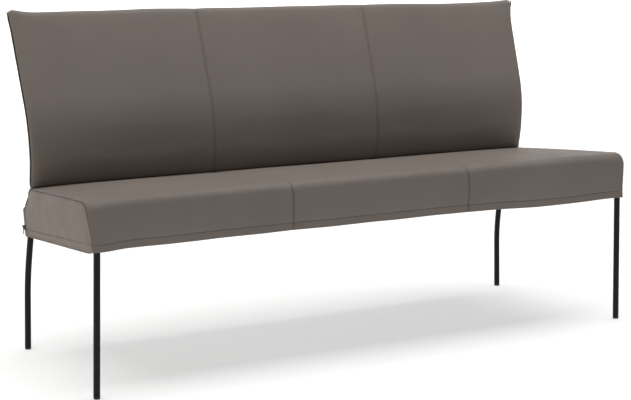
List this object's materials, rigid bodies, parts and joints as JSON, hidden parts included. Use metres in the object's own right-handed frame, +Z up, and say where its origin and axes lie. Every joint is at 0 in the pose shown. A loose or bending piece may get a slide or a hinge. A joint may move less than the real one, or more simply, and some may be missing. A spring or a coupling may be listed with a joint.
{
  "type": "upholstered dining bench",
  "caption": "Long leather dining bench with a crowned tapered seat, a bent leaning back sewn in panels with side zips, and slim black tube legs",
  "frame": {"origin": "on the floor, under the middle of the whole bench", "axes": "+X along the bench to the right seen from the front, -Y the front, +Z up"},
  "size_m": [1.768, 0.6291, 0.97],
  "materials": {
    "leather": "smooth taupe leather with a soft sheen",
    "black_steel": "matt black powder coat",
    "glide_plastic": "matt black nylon",
    "zinc_steel": "zinc plated",
    "timber": "planed beech",
    "foam": "polyurethane foam, standing in under fabric",
    "webbing": "woven elastic webbing",
    "underside_cloth": "black non-woven cloth",
    "zip_tape": "black woven zip tape with coil teeth",
    "zip_metal": "black lacquered zinc"
  },
  "bodies": {
    "bench": {"back_cover_centre": "leather", "back_cover_left": "leather", "back_cover_right": "leather", "back_front_foam": "foam", "back_left_inner_post": "timber", "back_left_post": "timber", "back_rear_foam": "foam", "back_right_inner_post": "timber", "back_right_post": "timber", "back_top_rail": "timber", "back_webbing": "webbing", "front_left_glide": "glide_plastic", "front_left_leg": "black_steel", "front_left_leg_plate": "black_steel", "front_right_glide": "glide_plastic", "front_right_leg": "black_steel", "front_right_leg_plate": "black_steel", "hem_front": "leather", "hem_left": "leather", "hem_rear": "leather", "hem_right": "leather", "insert_nuts": "zinc_steel", "leg_screws": "zinc_steel", "post_bolts": "zinc_steel", "rear_cover_centre": "leather", "rear_cover_left": "leather", "rear_cover_right": "leather", "rear_left_glide": "glide_plastic", "rear_left_leg": "black_steel", "rear_left_leg_plate": "black_steel", "rear_right_glide": "glide_plastic", "rear_right_leg": "black_steel", "rear_right_leg_plate": "black_steel", "seat_corner_blocks": "timber", "seat_cover_centre": "leather", "seat_cover_left": "leather", "seat_cover_right": "leather", "seat_foam": "foam", "seat_front_rail": "timber", "seat_left_cross_rail": "timber", "seat_left_rail": "timber", "seat_rear_foam": "foam", "seat_rear_rail": "timber", "seat_right_cross_rail": "timber", "seat_right_rail": "timber", "seat_side_left": "leather", "seat_side_right": "leather", "seat_webbing": "webbing", "underside_cloth": "underside_cloth", "zip_left": "zip_tape", "zip_right": "zip_tape"},
    "left_zip_slider": {"zip_slider_left": "zip_metal"},
    "left_zip_pull": {"zip_pull_left": "zip_metal"},
    "right_zip_slider": {"zip_slider_right": "zip_metal"},
    "right_zip_pull": {"zip_pull_right": "zip_metal"}
  },
  "joints": [
    {"name": "left_zip_slide", "type": "slide", "parent": "bench", "child": "left_zip_slider", "axis": [-0.0358, 0.0732, 0.9967], "range_m": [0, 0.045]},
    {"name": "left_pull_swing", "type": "hinge", "parent": "left_zip_slider", "child": "left_zip_pull", "pos_m": [-0.85762, 0.25387, 0.36731], "axis": [0.0026, 0.9973, -0.0732], "range_deg": [0, 150]},
    {"name": "right_zip_slide", "type": "slide", "parent": "bench", "child": "right_zip_slider", "axis": [0.0358, 0.0732, 0.9967], "range_m": [0, 0.045]},
    {"name": "right_pull_swing", "type": "hinge", "parent": "right_zip_slider", "child": "right_zip_pull", "pos_m": [0.85762, 0.25387, 0.36731], "axis": [0.0026, -0.9973, 0.0732], "range_deg": [0, 150]}
  ]
}
